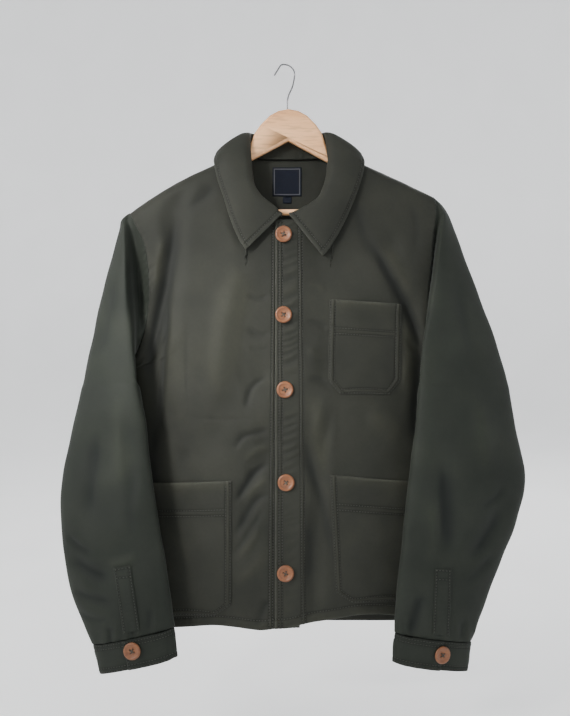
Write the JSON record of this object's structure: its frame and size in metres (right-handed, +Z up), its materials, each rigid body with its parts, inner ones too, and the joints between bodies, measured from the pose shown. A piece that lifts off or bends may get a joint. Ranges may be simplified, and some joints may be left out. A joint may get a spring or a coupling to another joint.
{
  "type": "chore jacket on hanger",
  "caption": "Button-front work jacket of dark olive cotton with a turned-down collar, patch pockets and buttoned cuffs, hanging on a flat wooden hanger with a wire hook.",
  "frame": {"origin": "inside of the top of the hook, where the hanger hangs", "axes": "+Z up, the front of the jacket faces -Y, +X to the right as it is seen from the front; the hanger lies in the XZ plane"},
  "size_m": [0.6548, 0.1212, 0.8594],
  "materials": {
    "cloth_body": "matt, soft nap",
    "cloth_sleeve": "matt, soft nap",
    "cloth_pocket": "matt, soft nap",
    "label": "smooth woven",
    "button_wood": "satin",
    "hanger_wood": "satin varnish",
    "hook_steel": "polished wire"
  },
  "bodies": {
    "root": {"front_under": "cloth_body", "front_over": "cloth_body", "back": "cloth_body", "collar": "cloth_body", "sleeve_left": "cloth_sleeve", "sleeve_right": "cloth_sleeve", "cuff_left": "cloth_sleeve", "cuff_right": "cloth_sleeve", "sleeve_strap_left": "cloth_sleeve", "sleeve_strap_right": "cloth_sleeve", "pocket_chest": "cloth_pocket", "pocket_lower_left": "cloth_pocket", "pocket_lower_right": "cloth_pocket", "neck_label": "label", "size_tab": "label", "button_1": "button_wood", "button_2": "button_wood", "button_3": "button_wood", "button_4": "button_wood", "button_5": "button_wood", "cuff_button_left": "button_wood", "cuff_button_right": "button_wood", "hanger_wood": "hanger_wood", "hanger_bar": "hanger_wood", "hanger_hook": "hook_steel"}
  },
  "joints": []
}
